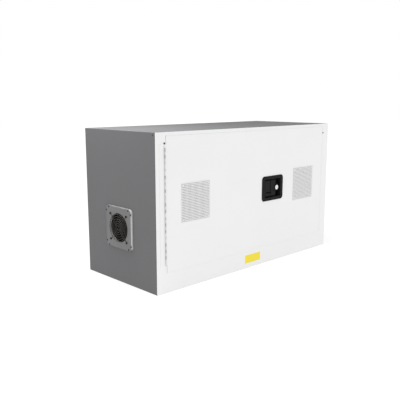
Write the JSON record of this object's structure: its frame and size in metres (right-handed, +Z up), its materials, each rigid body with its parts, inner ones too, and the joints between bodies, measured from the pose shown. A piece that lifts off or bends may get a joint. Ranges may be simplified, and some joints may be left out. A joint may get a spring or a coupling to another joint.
{
  "type": "battery cabinet",
  "caption": "Double-walled steel countertop cabinet for charging batteries: piano-hinged door with two perforated vents and a key-locked paddle latch, exhaust fan in the left wall.",
  "frame": {"origin": "centre of the base, on the surface that the cabinet stands on", "axes": "+X to the right across the front, +Y from the front to the back, +Z up"},
  "size_m": [1.1039, 0.4803, 0.61],
  "materials": {
    "grey_paint": "semi-gloss powder coat",
    "white_paint": "semi-gloss powder coat",
    "grille_white": "semi-gloss powder coat, perforated",
    "insulation": "mineral wool board",
    "filter_media": "matt fibre pad",
    "gasket_black": "matt sponge rubber",
    "fan_cover_grey": "satin moulded",
    "black_plastic": "matt moulded",
    "outlet_grey": "matt moulded",
    "bright_steel": "bright plated",
    "zinc_steel": "zinc plated",
    "white_screws": "painted"
  },
  "bodies": {
    "cabinet": {"base_panel": "grey_paint", "top_panel": "grey_paint", "side_panel_left": "grey_paint", "side_panel_right": "grey_paint", "back_panel": "grey_paint", "front_frame": "white_paint", "liner_floor": "white_paint", "liner_top": "white_paint", "liner_left": "white_paint", "liner_right": "white_paint", "liner_rear": "white_paint", "wall_insulation": "insulation", "door_gasket": "gasket_black", "shelf": "white_paint", "shelf_clips": "white_paint", "power_strip": "black_plastic", "outlet_inserts": "outlet_grey", "cable_gland": "black_plastic", "gland_nut": "black_plastic", "fan_box": "white_paint", "fan_plate": "fan_cover_grey", "finger_guard": "bright_steel", "guard_screws": "zinc_steel", "fan_housing": "black_plastic", "hinge_frame_leaf": "white_paint", "hinge_pin": "zinc_steel"},
    "fan_rotor": {"fan_rotor": "black_plastic"},
    "door": {"door_skin": "white_paint", "door_back": "white_paint", "door_core": "insulation", "vent_grille_left": "grille_white", "vent_grille_right": "grille_white", "vent_sleeve_left": "white_paint", "vent_sleeve_right": "white_paint", "vent_filter_left": "filter_media", "vent_filter_right": "filter_media", "filter_retainers": "zinc_steel", "vent_screws": "white_screws", "hinge_door_leaf": "white_paint", "latch_pan": "black_plastic", "lock_housing": "black_plastic", "paddle_pin": "zinc_steel", "lock_cylinder": "bright_steel", "rod_guides": "zinc_steel"},
    "paddle": {"latch_paddle": "black_plastic"},
    "key": {"key_plug": "bright_steel", "lock_cam": "zinc_steel"},
    "rod_top": {"lock_rod_top": "zinc_steel"},
    "rod_bottom": {"lock_rod_bottom": "zinc_steel"}
  },
  "joints": [
    {"name": "door_hinge", "type": "hinge", "parent": "cabinet", "child": "door", "pos_m": [-0.504, -0.2312, 0.3375], "axis": [0, 0, -1], "range_deg": [0, 120]},
    {"name": "fan_spin", "type": "hinge", "parent": "cabinet", "child": "fan_rotor", "pos_m": [-0.532, 0, 0.225], "axis": [-1, 0, 0], "continuous": true},
    {"name": "paddle_pull", "type": "hinge", "parent": "door", "child": "paddle", "pos_m": [0.0745, -0.2225, 0.3375], "axis": [0, 0, -1], "range_deg": [0, 35], "stiffness_Nm_per_rad": 0.3, "springref_deg": -17.19},
    {"name": "key_turn", "type": "hinge", "parent": "door", "child": "key", "pos_m": [0.1535, -0.2285, 0.3375], "axis": [0, -1, 0], "range_deg": [0, 90]},
    {"name": "rod_top_slide", "type": "slide", "parent": "door", "child": "rod_top", "axis": [0, 0, 1], "range_m": [0, 0.011]},
    {"name": "rod_bottom_slide", "type": "slide", "parent": "door", "child": "rod_bottom", "axis": [0, 0, -1], "range_m": [0, 0.011]}
  ],
  "couplings": [
    {"joint": "key_turn", "follows": "rod_top_slide", "rad_per_m": 142.79},
    {"joint": "rod_bottom_slide", "follows": "rod_top_slide", "ratio": 1}
  ]
}
